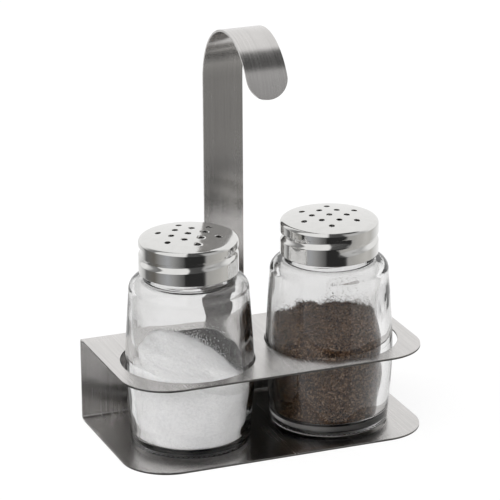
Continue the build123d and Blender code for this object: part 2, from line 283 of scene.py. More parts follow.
def polished_steel():
    """The caps' bright pressed sheet: nearly a mirror, and satin on the domes."""
    material = bpy.data.materials.new("polished_stainless")
    t = Tree(material)
    point = t.object_point()
    smear = t.noise(point, 0.35, 3.0, 0.6)
    speck = t.noise(point, 6.0, 2.0, 0.5)
    x, y, z = t.node("ShaderNodeSeparateXYZ", {0: point}).outputs
    off_x = t.math("SUBTRACT", t.math("ABSOLUTE", x), SHAKER_X)
    off_y = t.math("SUBTRACT", y, HOLE_Y)
    out = t.math("SQRT", t.math("ADD", t.math("MULTIPLY", off_x, off_x), t.math("MULTIPLY", off_y, off_y)))
    domed = t.smooth(z, CAP_CREASE_Z - 1.0, CAP_CREASE_Z)
    satin = t.math("MULTIPLY", domed, t.smooth(out, CAP_RADIUS, CAP_RADIUS - 3.5))
    colour = t.ramp(smear, ((0.35, (0.705, 0.70, 0.685)), (0.65, (0.735, 0.73, 0.715))))
    roughness = t.math("ADD", t.smooth(smear, 0.3, 0.7, 0.08, 0.11), t.math("MULTIPLY", satin, 0.03))
    bump = t.node("ShaderNodeBump", {"Height": t.math("MULTIPLY", speck, satin), "Strength": 0.015,
                                     "Distance": 0.00005})
    shader = t.node("ShaderNodeBsdfPrincipled", {"Base Color": colour, "Metallic": 1.0,
                                                 "Roughness": roughness, "Normal": bump.outputs[0]})
    t.surface(shader.outputs[0])
    return material


def painted_shade_cap_inside():
    """Painted shade for the caps' inside: near-black, rougher metal with a faint mottle, standing in for the
    shade in the closed cap so that the holes look dark.
    """
    material = bpy.data.materials.new("painted_shade_cap_inside")
    t = Tree(material)
    shade_mottle = t.noise(t.object_point(), 0.5, 4.0, 0.6)
    colour = t.ramp(shade_mottle, ((0.35, (0.060, 0.052, 0.045)), (0.65, (0.115, 0.105, 0.095))))
    shader = t.node("ShaderNodeBsdfPrincipled", {"Base Color": colour, "Metallic": 1.0,
                                                 "Roughness": t.smooth(shade_mottle, 0.3, 0.7, 0.45, 0.6)})
    t.surface(shader.outputs[0])
    return material


def clear_glass():
    """Blown clear glass, faintly grey, with the fine waviness that its mould leaves, and painted shade where
    it is seen edge-on.
    """
    material = bpy.data.materials.new("clear_glass")
    t = Tree(material)
    wave = t.noise(t.object_point((140.0, 140.0, 60.0)), 1.0, 2.0, 0.5)
    bump = t.node("ShaderNodeBump", {"Height": wave, "Strength": 0.25, "Distance": 0.0004})
    z = t.node("ShaderNodeSeparateXYZ", {0: t.object_point()}).outputs[2]
    facing = t.node("ShaderNodeLayerWeight", {"Blend": 0.5}).outputs["Facing"]
    # painted shade: the glass is darker where it is seen edge-on, for the dark surroundings that its edges
    # would refract and mirror
    colour = t.mix(t.smooth(facing, 0.42, 0.78), (0.875, 0.873, 0.872), (0.50, 0.50, 0.49))
    under = t.smooth(z, FOOT_Z + PUNT_DEPTH + 0.1, FOOT_Z + PUNT_DEPTH, 0.0, 0.3)
    shader = t.node("ShaderNodeBsdfPrincipled", {"Base Color": colour, "Roughness": under,
                                                 "IOR": 1.5, "Transmission Weight": 1.0,
                                                 "Normal": bump.outputs[0]})
    t.surface(shader.outputs[0])
    return material


def soft_plastic():
    """The seal rings' clear, slightly cloudy plastic."""
    material = bpy.data.materials.new("clear_soft_plastic")
    t = Tree(material)
    cloud = t.noise(t.object_point(), 0.8, 2.0, 0.5)
    colour = t.ramp(cloud, ((0.3, (0.82, 0.83, 0.81)), (0.7, (0.9, 0.9, 0.88))))
    shader = t.node("ShaderNodeBsdfPrincipled", {"Base Color": colour, "Roughness": 0.35, "IOR": 1.45})
    t.surface(shader.outputs[0])
    return material


def salt_grains():
    """Fine table salt: white crystals that let light spread among them, with small grey gaps."""
    material = bpy.data.materials.new("salt_grains")
    t = Tree(material)
    point = t.object_point()
    cells = t.node("ShaderNodeTexVoronoi", {"Vector": point, "Scale": 1.9, "Randomness": 1.0})
    speck = t.node("ShaderNodeSeparateColor", {0: cells.outputs["Color"]}).outputs[0]
    cloud = t.noise(point, 0.16, 3.0, 0.55)
    tone = t.math("ADD", t.math("MULTIPLY", speck, 0.45), t.math("MULTIPLY", cloud, 0.55))
    colour = t.ramp(tone, ((0.22, (0.84, 0.84, 0.845)), (0.5, (0.93, 0.93, 0.935)),
                           (0.75, (0.97, 0.97, 0.97))))
    bump = t.node("ShaderNodeBump", {"Height": cells.outputs["Distance"], "Strength": 0.35,
                                     "Distance": 0.0002})
    shader = t.node("ShaderNodeBsdfPrincipled", {"Base Color": colour, "Roughness": 0.6,
                                                 "Specular IOR Level": 0.25, "Subsurface Weight": 0.7,
                                                 "Subsurface Radius": (1.0, 1.0, 1.0),
                                                 "Subsurface Scale": 0.0025, "Normal": bump.outputs[0]})
    t.surface(shader.outputs[0])
    return material


def ground_pepper():
    """Ground pepper: grey-brown meal speckled with pale husk and near-black skin."""
    material = bpy.data.materials.new("ground_pepper")
    t = Tree(material)
    point = t.object_point()
    big = t.node("ShaderNodeTexVoronoi", {"Vector": point, "Scale": 1.6, "Randomness": 1.0})
    small = t.node("ShaderNodeTexVoronoi", {"Vector": point, "Scale": 2.9, "Randomness": 1.0})
    big_speck = t.node("ShaderNodeSeparateColor", {0: big.outputs["Color"]}).outputs[0]
    small_speck = t.node("ShaderNodeSeparateColor", {0: small.outputs["Color"]}).outputs[1]
    speck = t.math("ADD", t.math("MULTIPLY", big_speck, 0.5), t.math("MULTIPLY", small_speck, 0.5))
    meal = t.ramp(speck, ((0.14, (0.006, 0.003, 0.002)), (0.36, (0.018, 0.008, 0.003)),
                          (0.54, (0.056, 0.027, 0.011)), (0.72, (0.113, 0.061, 0.030)),
                          (0.90, (0.25, 0.175, 0.12))))
    cloud = t.noise(point, 0.16, 3.0, 0.6)
    colour = t.mix(t.smooth(cloud, 0.42, 0.72, 0.0, 0.25), meal, (0.094, 0.052, 0.027))
    bump = t.node("ShaderNodeBump", {"Height": speck, "Strength": 0.5, "Distance": 0.0002})
    shader = t.node("ShaderNodeBsdfPrincipled", {"Base Color": colour, "Roughness": 0.85,
                                                 "Specular IOR Level": 0.15, "Normal": bump.outputs[0]})
    t.surface(shader.outputs[0])
    return material


STEEL = brushed_steel()
POLISHED = polished_steel()
PAINTED_CAP_SHADE = painted_shade_cap_inside()
GLASS = clear_glass()
PLASTIC = soft_plastic()
SALT = salt_grains()
PEPPER = ground_pepper()


# ------------------------------------------------------------------ mesh helpers
def dress(node, material):
    """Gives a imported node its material. Its mesh stays as it is."""
    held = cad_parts[node]
    held.data.materials.clear()
    held.data.materials.append(material)


def make_object(name, points, faces, material, sharp_over):
    """A smooth-shaded mesh from points in millimetres. Edges that turn by more than sharp_over stay crisp."""
    mesh = bpy.data.meshes.new(name)
    mesh.from_pydata((np.asarray(points, float) * MM).tolist(), [], faces)
    mesh.validate()
    mesh.shade_smooth()
    mesh.set_sharp_from_angle(angle=math.radians(sharp_over))
    mesh.materials.append(material)
    made = bpy.data.objects.new(name, mesh)
    bpy.context.scene.collection.objects.link(made)
    return made


def arc(centre, radius, start, end, steps):
    """Points on an arc in a (radius, height) profile, by angle from the radius direction."""
    turns = np.radians(np.linspace(start, end, steps + 1))
    return [(centre[0] + radius * math.cos(a), centre[1] + radius * math.sin(a)) for a in turns]


def straight(start, end, spacing):
    """Points on a straight line, about spacing apart."""
    steps = max(1, round(math.dist(start, end) / spacing))
    return [tuple(np.array(start) + (np.array(end) - np.array(start)) * i / steps) for i in range(steps + 1)]


def joined(*pieces):
    """One profile from several, without its doubled points."""
    line = []
    for piece in pieces:
        for point in piece:
            if not line or math.dist(line[-1], point) > 1e-4:
                line.append((float(point[0]), float(point[1])))
    return line


def spline_through(places, values):
    """The natural cubic spline through some values, as a function."""
    x = np.array(places, float)
    y = np.array(values, float)
    gap = np.diff(x)
    count = len(x)
    matrix = np.eye(count)
    right = np.zeros(count)
    for i in range(1, count - 1):
        matrix[i, i - 1: i + 2] = gap[i - 1], 2 * (gap[i - 1] + gap[i]), gap[i]
        right[i] = 6 * ((y[i + 1] - y[i]) / gap[i] - (y[i] - y[i - 1]) / gap[i - 1])
    bend = np.linalg.solve(matrix, right)

    def value(at):
        at = np.clip(np.asarray(at, float), x[0], x[-1])
        i = np.clip(np.searchsorted(x, at) - 1, 0, count - 2)
        a = (x[i + 1] - at) / gap[i]
        b = (at - x[i]) / gap[i]
        curve = ((a**3 - a) * bend[i] + (b**3 - b) * bend[i + 1]) * gap[i]**2 / 6
        return a * y[i] + b * y[i + 1] + curve

    return value


SIDE = spline_through([z for r, z in SIDE_CURVE], [r for r, z in SIDE_CURVE])


def unit_circle(count):
    """Evenly spaced points on a circle of radius 1."""
    angle = np.arange(count) / count * TURN
    return np.stack((np.cos(angle), np.sin(angle)), axis=-1)


def smooth_step(value, low, high):
    """0 up to low and 1 from high on, with a smooth step between them."""
    place = np.clip((np.asarray(value, float) - low) / (high - low), 0.0, 1.0)
    return place * place * (3 - 2 * place)


def ring_faces(rows, columns, first=0):
    """Quads between rings of points that follow each other."""
    faces = []
    for row in range(rows - 1):
        a = first + row * columns
        b = a + columns
        for i in range(columns):
            j = (i + 1) % columns
            faces.append((a + i, a + j, b + j, b + i))
    return faces


def turned(radii, heights, middle_x):
    """Rings of points about a shaker's axis. radii and heights are rows by columns."""
    columns = radii.shape[1]
    angle = np.arange(columns) / columns * TURN
    x = middle_x + radii * np.cos(angle)
    y = HOLE_Y + radii * np.sin(angle)
    return np.stack((x, y, np.broadcast_to(heights, radii.shape)), axis=-1).reshape(-1, 3)


def ridge_of(ridge_turn):
    """A bottle's ridge: it starts on the first turn of its line that is below the cap's rim."""
    pitch = THREAD_LEAD / 2
    line_z = GROOVE["first_z"] + ridge_turn / 360 * THREAD_LEAD - RIDGE_BELOW_GROOVE
    first_z = line_z - math.ceil((line_z - CAP_RIM_Z) / pitch) * pitch
    return {**RIDGE, "first_z": first_z, "turn": (RIDGE_END_Z - first_z) / THREAD_LEAD * 360}


def thread_height(heights, columns, thread, start_turn):
    """How high a two-start thread stands at each height and column, from 0 to its full height."""
    angle = np.arange(columns) / columns * 360
    found = np.zeros((len(heights), columns))
    for start in (start_turn, start_turn + 180):
        for lap in (0, 360):
            turn = (angle - start) % 360 + lap
            fade = np.clip(np.minimum(turn, thread["turn"] - turn) / THREAD_FADE, 0, 1)
            away = heights[:, None] - (thread["first_z"] + turn / 360 * THREAD_LEAD)[None, :]
            root = np.where(away < 0, thread["below"][0], thread["above"][0])
            crest = np.where(away < 0, thread["below"][1], thread["above"][1])
            slope = np.clip((root - np.abs(away)) / (root - crest), 0, 1)
            ends = (fade * fade * (3 - 2 * fade))[None, :]
            found = np.maximum(found, slope * slope * (3 - 2 * slope) * ends)
    return found * thread["height"]


TRIANGLE_ROW = 0.866          # how far apart the rows of even triangles lie, over the triangles' side
KEEP_OFF = 0.45               # how near to an edge a point may lie, over the triangles' side


def disc_mesh(outline, holes, spacing):
    """Triangles over a round outline with round holes, as 2-D points and faces."""
    radius = float(np.hypot(*outline[0]))
    points = [Vector(p) for p in outline]
    edges = [(i, (i + 1) % len(outline)) for i in range(len(outline))]
    for ring in holes:
        first = len(points)
        points += [Vector(p) for p in ring]
        edges += [(first + i, first + (i + 1) % len(ring)) for i in range(len(ring))]
    middles = [(np.mean(ring, axis=0), float(np.hypot(*(ring[0] - np.mean(ring, axis=0))))) for ring in holes]
    rows = int(radius / spacing / TRIANGLE_ROW) + 1
    for row in range(-rows, rows + 1):
        for column in range(-rows - 1, rows + 2):
            at = np.array(((column + (row % 2) / 2) * spacing, row * spacing * TRIANGLE_ROW))
            if np.hypot(*at) > radius - KEEP_OFF * spacing:
                continue
            if any(np.hypot(*(at - middle)) < size + KEEP_OFF * spacing for middle, size in middles):
                continue
            points.append(Vector(at))
    found, _, triangles, _, _, _ = delaunay_2d_cdt(points, edges, [], 0, 1e-5)
    flat = np.array([tuple(p) for p in found])
    kept = []
    # a triangle whose middle lies in a hole only fills the hole, so it is left out
    for triangle in triangles:
        middle = flat[list(triangle)].mean(axis=0)
        if all(np.hypot(*(middle - at)) > size * 0.98 for at, size in middles):
            kept.append(tuple(triangle))
    return flat, kept


# ------------------------------------------------------------------ glass bottles
BOTTLE_COLUMNS = 4 * FOOT_KNURLS
MIDDLE_GAP = 0.4              # the radius of the innermost ring, which one face closes
FLAT_SPACING = 2.0            # how far apart the rings lie on flat glass
SIDE_SPACING = 1.2
THREAD_SPACING = 0.16
CAVITY_WAVES = 14             # how many waves make up the inside's unevenness
# heights above the table: where the waves begin and end, where the glass grows thinner towards the
# shoulder, and where the inside comes back to the bottle's axis
WAVES_RISE = (6.0, 12.0)
WAVES_FADE = (56.0, 62.0)
THIN_RISE = (40.0, 60.0)
SHIFT_FADE = (40.0, 66.0)


def side_profile(inset, floor_z, foot_round, top_z, shoulder_round):
    """A bottle's side from its floor round up to its shoulder round, drawn in by inset."""
    low_z = floor_z + foot_round
    low_r = float(SIDE(low_z - FOOT_Z)) - inset
    floor = arc((low_r - foot_round, low_z), foot_round, -90, 0, 10)
    high_z = top_z - shoulder_round
    high_r = float(SIDE(high_z - FOOT_Z)) - inset
    steps = round((high_z - low_z) / SIDE_SPACING)
    side = [(float(SIDE(z - FOOT_Z)) - inset, z) for z in np.linspace(low_z, high_z, steps + 1)]
    shoulder = arc((high_r - shoulder_round, high_z), shoulder_round, 0, 90, 16)
    return joined(floor, side, shoulder)


def cavity_bulge(shaker, radii, heights):
    """How far blown glass is thinner from inside at each point: in soft waves, and towards the shoulder."""
    chance = np.random.RandomState(shaker["seed"])
    angle = np.arange(radii.shape[1]) / radii.shape[1] * TURN
    wave = np.zeros(radii.shape)
    for _ in range(CAVITY_WAVES):
        around = chance.randint(1, 8)
        rise = chance.normal() * TURN / 30.0
        wave += np.cos(around * angle[None, :] + rise * heights[:, None] + chance.uniform(0, TURN))
    wave = 0.5 + wave / math.sqrt(CAVITY_WAVES / 2) / 3
    waved = smooth_step(heights, *WAVES_RISE) * (1 - smooth_step(heights, *WAVES_FADE))
    thinner = smooth_step(heights, *THIN_RISE) * shaker["thinning"]
    return waved[:, None] * np.clip(wave, 0, 1.2) * shaker["wave"] + thinner[:, None]


def foot_knurls(profile):
    """The small upright ridges round a bottle's foot."""
    angle = np.arange(BOTTLE_COLUMNS) / BOTTLE_COLUMNS * TURN
    height = profile[:, 1] - FOOT_Z
    band = smooth_step(height, *KNURL_RISE) * (1 - smooth_step(height, *KNURL_FADE))
    band = band * (profile[:, 0] > PUNT_RADIUS + 1)
    return KNURL_HEIGHT / 2 * np.outer(band, np.cos(FOOT_KNURLS * angle))


def bottle_profile(shaker):
    """A bottle's section in four stretches: outside up to the neck, thread, lip with bore, and inside."""
    inner_top_z = SHOULDER_Z - SHOULDER_WALL
    floor_z = FOOT_Z + shaker["base"]
    outer_side = side_profile(0, FOOT_Z, FOOT_ROUND, SHOULDER_Z, SHOULDER_ROUND)
    inner_side = side_profile(shaker["wall"], floor_z, INSIDE_ROUND, inner_top_z, INSIDE_SHOULDER_ROUND)
    root = NECK_RADIUS + NECK_ROOT_ROUND
    thread_top = RIDGE_END_Z + RIDGE["above"][0]
    below = joined(
        straight((MIDDLE_GAP, FOOT_Z + PUNT_DEPTH), (PUNT_RADIUS - PUNT_DEPTH, FOOT_Z + PUNT_DEPTH),
                 FLAT_SPACING),
        arc((PUNT_RADIUS - PUNT_DEPTH, FOOT_Z), PUNT_DEPTH, 90, 0, 5),
        outer_side,
        straight(outer_side[-1], (root, SHOULDER_Z), SIDE_SPACING),
        arc((root, SHOULDER_Z + NECK_ROOT_ROUND), NECK_ROOT_ROUND, -90, -180, 4),
    )
    threaded = straight(below[-1], (NECK_RADIUS, thread_top), THREAD_SPACING)[1:]
    above = joined(
        straight(threaded[-1], (NECK_RADIUS, LIP_Z - LIP_ROUND), 1.0),
        arc((NECK_RADIUS - LIP_ROUND, LIP_Z - LIP_ROUND), LIP_ROUND, 0, 90, 6),
        arc((NECK_BORE + LIP_ROUND, LIP_Z - LIP_ROUND), LIP_ROUND, 90, 180, 6),
        straight((NECK_BORE, LIP_Z - LIP_ROUND), (NECK_BORE, inner_top_z + BORE_ROUND), 1.5),
        arc((NECK_BORE + BORE_ROUND, inner_top_z + BORE_ROUND), BORE_ROUND, 180, 270, 6),
    )[1:]
    floor = straight(inner_side[0], (MIDDLE_GAP, floor_z), FLAT_SPACING)
    within = joined(list(reversed(inner_side)), floor)
    return below, threaded, above, within


def make_bottle(shaker):
    """A bottle with ridges round its foot, its thread on the neck and an uneven inside."""
    name = shaker["name"]
    below, threaded, above, within = bottle_profile(shaker)
    profile = np.array(below + threaded + above + within)
    radii = np.repeat(profile[:, :1], BOTTLE_COLUMNS, axis=1)
    radii[:len(below)] += foot_knurls(profile[:len(below)])
    rows = slice(len(below), len(below) + len(threaded))
    ridge = ridge_of(shaker["ridge_turn"])
    ridge_start = shaker["thread_turn"] + shaker["ridge_turn"]
    radii[rows] += thread_height(profile[rows, 1], BOTTLE_COLUMNS, ridge, ridge_start)
    rows = slice(len(profile) - len(within), len(profile))
    radii[rows] += cavity_bulge(shaker, radii[rows], profile[rows, 1])
    points = turned(radii, profile[:, 1:], shaker["x"])
    inner = points[rows.start * BOTTLE_COLUMNS:]
    inner[:, :2] += np.outer(1 - smooth_step(inner[:, 2], *SHIFT_FADE), shaker["cavity_shift"])
    faces = ring_faces(len(profile), BOTTLE_COLUMNS)
    faces.append(tuple(reversed(range(BOTTLE_COLUMNS))))
    last = (len(profile) - 1) * BOTTLE_COLUMNS
    faces.append(tuple(range(last, last + BOTTLE_COLUMNS)))
    made = make_object(f"{name}_glass", points, faces, GLASS, 50)
    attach(made, f"{name}_shaker")
    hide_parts(f"{name}_bottle")


# ------------------------------------------------------------------ screw caps
CAP_COLUMNS = 288
HOLE_POINTS = 28
GROOVE_SPACING = 0.14         # how far apart the rings lie on the grooved side
GROOVE_SPACING_INSIDE = 0.2
DOME_SPACING = 0.85           # the side of the dome's triangles


class Sheet:
    """A cap's mesh in the making: its points, its faces, and which faces are on the inside."""

    def __init__(self):
        self.points = np.empty((0, 3))
        self.faces = []
        self.within = []

    def add_points(self, points):
        """Adds points and gives the number of the first one."""
        first = len(self.points)
        self.points = np.vstack((self.points, points))
        return first

    def add_faces(self, faces, within):
        self.faces += faces
        self.within += [within] * len(faces)


def dome_height(radius, sphere):
    """How high a dome is at a distance from the cap's axis."""
    return DOME_CENTRE_Z + np.sqrt(sphere**2 - np.asarray(radius, float)**2)


def cap_side(radius, sphere, edge_round):
    """The middle of the round between a cap's side and its dome, and the angle at which it meets the dome."""
    middle_r = radius - edge_round
    middle_z = float(dome_height(middle_r, sphere - edge_round))
    lean = math.degrees(math.atan2(middle_z - DOME_CENTRE_Z, middle_r))
    return (middle_r, middle_z), lean


def cap_profile():
    """A cap's section in five stretches: outer round, outer side, rim with its hem, inner side and round."""
    inside = CAP_RADIUS - CAP_SHEET
    hem_inside = inside - HEM_SHEET
    outer_middle, outer_lean = cap_side(CAP_RADIUS, DOME_RADIUS, CAP_EDGE_ROUND)
    inner_middle, inner_lean = cap_side(inside, CEILING_RADIUS, CAP_EDGE_ROUND - CAP_SHEET)
    hem_z = CAP_RIM_Z + HEM_HEIGHT
    rim_z = CAP_RIM_Z + RIM_ROUND
    outer_edge = arc(outer_middle, CAP_EDGE_ROUND, outer_lean, 0, 12)
    inner_edge = arc(inner_middle, CAP_EDGE_ROUND - CAP_SHEET, 0, inner_lean, 8)
    outer_side = straight((CAP_RADIUS, outer_middle[1]), (CAP_RADIUS, rim_z), GROOVE_SPACING)[1:]
    rim = joined(
        arc((CAP_RADIUS - RIM_ROUND, rim_z), RIM_ROUND, 0, -90, 4),
        arc((hem_inside + RIM_ROUND, rim_z), RIM_ROUND, -90, -180, 4),
        straight((hem_inside, rim_z), (hem_inside, hem_z), 0.5),
        [(inside, hem_z + 0.12)],
    )[1:]
    inner_side = straight(rim[-1], (inside, inner_middle[1]), GROOVE_SPACING_INSIDE)[1:]
    return outer_edge, outer_side, rim, inner_side, inner_edge[1:]


def add_cap_side(sheet, shaker):
    """Adds a cap's side and rim. Gives the section, whose ends meet the dome and the ceiling."""
    outer_edge, outer_side, rim, inner_side, inner_edge = cap_profile()
    profile = np.array(outer_edge + outer_side + rim + inner_side + inner_edge)
    radii = np.repeat(profile[:, :1], CAP_COLUMNS, axis=1)
    first_out = len(outer_edge)
    first_in = first_out + len(outer_side) + len(rim)
    for first, side in ((first_out, outer_side), (first_in, inner_side)):
        rows = slice(first, first + len(side))
        radii[rows] -= thread_height(profile[rows, 1], CAP_COLUMNS, GROOVE, shaker["thread_turn"])
    sheet.add_points(turned(radii, profile[:, 1:], shaker["x"]))
    faces = [tuple(reversed(face)) for face in ring_faces(len(profile), CAP_COLUMNS)]
    sheet.add_faces(faces[:first_in * CAP_COLUMNS], False)
    sheet.add_faces(faces[first_in * CAP_COLUMNS:], True)
    return profile


def hole_middles(hole_turn):
    """The holes' middles from the cap's axis: one in the middle, six round it and six round those."""
    middles = [(0.0, 0.0)]
    for ring_radius, shift in ((HOLE_SPACING, 0.0), (HOLE_SPACING * math.sqrt(3), 30.0)):
        for step in range(6):
            angle = math.radians(hole_turn + shift + 60 * step)
            middles.append((ring_radius * math.cos(angle), ring_radius * math.sin(angle)))
    return middles


def add_hole_walls(sheet, middle_x, middles, outer_first, inner_first):
    """Adds each hole's wall: from the dome's ring, over a small round, down to the ceiling's ring."""
    circle = unit_circle(HOLE_POINTS)
    part_way = 0.35 * HOLE_EDGE
    for number, at in enumerate(middles):
        first = CAP_COLUMNS + number * HOLE_POINTS
        starts = [outer_first + first]
        for out, down in ((part_way, part_way), (0.0, HOLE_EDGE), (0.0, CAP_SHEET - HOLE_EDGE)):
            xy = np.array(at) + circle * (HOLE_RADIUS + out)
            z = dome_height(np.hypot(*xy.T), DOME_RADIUS) - down
            starts.append(sheet.add_points(np.column_stack((xy + (middle_x, HOLE_Y), z))))
        starts.append(inner_first + first)
        for a, b in zip(starts, starts[1:]):
            ring = []
            for i in range(HOLE_POINTS):
                j = (i + 1) % HOLE_POINTS
                ring.append((a + i, a + j, b + j, b + i))
            sheet.add_faces(ring, a != starts[0])


def make_cap(shaker):
    """A cap of thin sheet: a grooved side with a hem, and a dome with thirteen holes."""
    name = shaker["name"]
    middle_x = shaker["x"]
    sheet = Sheet()
    profile = add_cap_side(sheet, shaker)
    last_ring = len(sheet.points) - CAP_COLUMNS

    middles = hole_middles(shaker["hole_turn"])
    holes = [np.array(at) + unit_circle(HOLE_POINTS) * (HOLE_RADIUS + HOLE_EDGE) for at in middles]
    outline = unit_circle(CAP_COLUMNS) * profile[0, 0]
    flat, triangles = disc_mesh([np.array(p) for p in outline], holes, DOME_SPACING)
    outer_z = dome_height(np.hypot(*flat.T), DOME_RADIUS)
    outer_first = sheet.add_points(np.column_stack((flat + (middle_x, HOLE_Y), outer_z)))
    inner_flat = flat * (profile[-1, 0] / profile[0, 0])
    inner_z = dome_height(np.hypot(*inner_flat.T), CEILING_RADIUS)
    inner_first = sheet.add_points(np.column_stack((inner_flat + (middle_x, HOLE_Y), inner_z)))
    sheet.add_faces([tuple(outer_first + i for i in triangle) for triangle in triangles], False)
    sheet.add_faces([tuple(inner_first + i for i in reversed(triangle)) for triangle in triangles], True)
    add_hole_walls(sheet, middle_x, middles, outer_first, inner_first)

    # the dome's and the ceiling's outlines are joined to the side by giving both the same points
    stitched = {outer_first + i: i for i in range(CAP_COLUMNS)}
    stitched.update({inner_first + i: last_ring + i for i in range(CAP_COLUMNS)})
    faces = [tuple(stitched.get(i, i) for i in face) for face in sheet.faces]
    made = make_object(f"{name}_cap_sheet", sheet.points, faces, POLISHED, 40)
    # the cap's inside and most of the holes' walls get the painted shade
    made.data.materials.append(PAINTED_CAP_SHADE)
    made.data.polygons.foreach_set("material_index", [int(is_within) for is_within in sheet.within])
    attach(made, f"{name}_screw_cap")
    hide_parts(f"{name}_cap")


# ------------------------------------------------------------------ salt and pepper
FILL_COLUMNS = 256
FILL_ROWS = 40                # steps from the floor's round up to the heap's rim
BELLY_INSIDE = 21.0
BUMP_WAVES = 24               # how many waves make up a bumpy surface
GRAIN_SPACING = 0.42          # the side of the triangles of a heap's top

# where grains cling to the glass: angle, spread, reach, how many, and their size
SALT_ZONES = ((60.0, 70.0, 1.0, 700, 0.38), (60.0, 60.0, 3.5, 420, 0.32), (20.0, 40.0, 6.0, 260, 0.28))
PEPPER_ZONES = ((35.0, 42.0, 5.0, 1100, 0.27), (60.0, 90.0, 0.8, 900, 0.36), (112.0, 20.0, 3.0, 260, 0.27),
                (-20.0, 25.0, 3.0, 200, 0.27))


def soft_bumps(points, size, seed):
    """A smooth random height field from -1 to 1 whose bumps are about size across."""
    chance = np.random.RandomState(seed)
    waves = chance.normal(size=(BUMP_WAVES, 2)) / size * 1.6
    phase = chance.uniform(0, TURN, BUMP_WAVES)
    return np.sin(points @ waves.T + phase).mean(axis=1) * math.sqrt(BUMP_WAVES / 2) / 1.4


def edge_swell(shaker, angle):
    """How the heap's rim departs from its even slope, at angles in degrees."""
    swell = np.zeros(np.shape(angle))
    for middle, width, height in shaker["swells"]:
        away = (np.asarray(angle) - middle + 180) % 360 - 180
        swell = swell + height * np.exp(-(away / width)**2)
    return swell


def heap_top(shaker, flat, lump):
    """The height of a heap's loose surface at points measured from the bottle's axis."""
    side = math.radians(shaker["high_side"])
    rise = math.tan(math.radians(shaker["slope"]))
    uphill = np.array((math.cos(side), math.sin(side)))
    out = np.hypot(*flat.T) / BELLY_INSIDE
    angle = np.degrees(np.arctan2(flat[:, 1], flat[:, 0]))
    swell = edge_swell(shaker, angle) * out**2
    facing = 0.5 + 0.5 * np.cos(np.radians(angle - CAMERA_SIDE))
    swell = swell - shaker["slump"] * smooth_step(facing, 0.1, 0.6) * smooth_step(out, 0.72, 1.02)**2
    seed = shaker["seed"]
    bumps = soft_bumps(flat, 9.0, seed) * lump + soft_bumps(flat, 2.6, seed + 1) * lump * 0.5
    return shaker["level"] + rise * (flat @ uphill) + swell + bumps


def stuck_grains(shaker, rim, zones, chance):
    """Loose grains that cling to the glass above the heap: small eight-sided crystals."""
    corners = np.array(((1, 0, 0), (0, 1, 0), (-1, 0, 0), (0, -1, 0), (0, 0, 1), (0, 0, -1)), float)
    sides = ((0, 1, 4), (1, 2, 4), (2, 3, 4), (3, 0, 4), (1, 0, 5), (2, 1, 5), (3, 2, 5), (0, 3, 5))
    points = []
    faces = []
    for middle, spread, reach, count, size in zones:
        angles = middle + chance.uniform(-spread, spread, count)
        fade = np.sqrt(np.clip(1 - (np.abs(angles - middle) / spread)**2, 0, 1))
        lift = np.minimum(chance.exponential(0.45, count), 1.6) * reach * fade
        column = (angles % 360 / 360 * len(rim)).astype(int) % len(rim)
        z = rim[column] + lift - 0.1
        radius = SIDE(z - FOOT_Z) - shaker["wall"] - FILL_CLEAR
        for turn, height, out in zip(np.radians(angles), z, radius):
            grain = size * chance.uniform(0.6, 1.3)
            lean = Matrix.Rotation(chance.uniform(0, TURN), 3, Vector(chance.normal(size=3)))
            at = np.array((out * math.cos(turn), out * math.sin(turn), height))
            first = len(points)
            points += [at + np.array(lean @ Vector(corner)) * grain / 2 for corner in corners]
            faces += [tuple(first + i for i in side) for side in sides]
    return np.array(points), faces


def heap_rim(shaker, lump):
    """Where a heap's top meets the glass: how far from the axis and how high, at each column."""
    inset = shaker["wall"] + FILL_CLEAR
    reach = np.full(FILL_COLUMNS, BELLY_INSIDE)
    for _ in range(4):
        rim_z = heap_top(shaker, unit_circle(FILL_COLUMNS) * reach[:, None], lump)
        reach = SIDE(rim_z - FOOT_Z) - inset
    return reach, rim_z


def heap_surface(shaker, reach, rim_z, rough, lump, chance):
    """A heap's loose top: its points from the bottle's axis, the rim's points first, and its triangles."""
    outline = unit_circle(FILL_COLUMNS) * reach[:, None]
    widest = float(reach.max())
    flat, triangles = disc_mesh([p / r * widest for p, r in zip(outline, reach)], [], GRAIN_SPACING)
    shape = reach / widest
    turn = np.arctan2(flat[:, 1], flat[:, 0]) % TURN / TURN * FILL_COLUMNS
    flat = flat * np.interp(turn, np.arange(FILL_COLUMNS + 1), np.append(shape, shape[0]))[:, None]
    heights = heap_top(shaker, flat, lump) + chance.uniform(-rough, rough, len(flat))
    heights[:FILL_COLUMNS] = rim_z
    flat[:FILL_COLUMNS] = outline
    return np.column_stack((flat, heights)), triangles


def heap_wall(shaker, rim_z):
    """Rings of points along the glass, from the floor up to just below the heap's rim."""
    inset = shaker["wall"] + FILL_CLEAR
    low_z = FOOT_Z + shaker["base"] + FILL_CLEAR + INSIDE_ROUND
    low_r = float(SIDE(low_z - FOOT_Z)) - inset
    round_line = arc((low_r - INSIDE_ROUND, low_z), INSIDE_ROUND, -90, 0, 6)
    radii = [np.full(FILL_COLUMNS, r) for r, z in round_line]
    levels = [np.full(FILL_COLUMNS, z) for r, z in round_line]
    for step in range(1, FILL_ROWS):
        z = low_z + (rim_z - low_z) * step / FILL_ROWS
        radii.append(SIDE(z - FOOT_Z) - inset)
        levels.append(z)
    return turned(np.array(radii), np.array(levels), 0.0) - (0.0, HOLE_Y, 0.0)


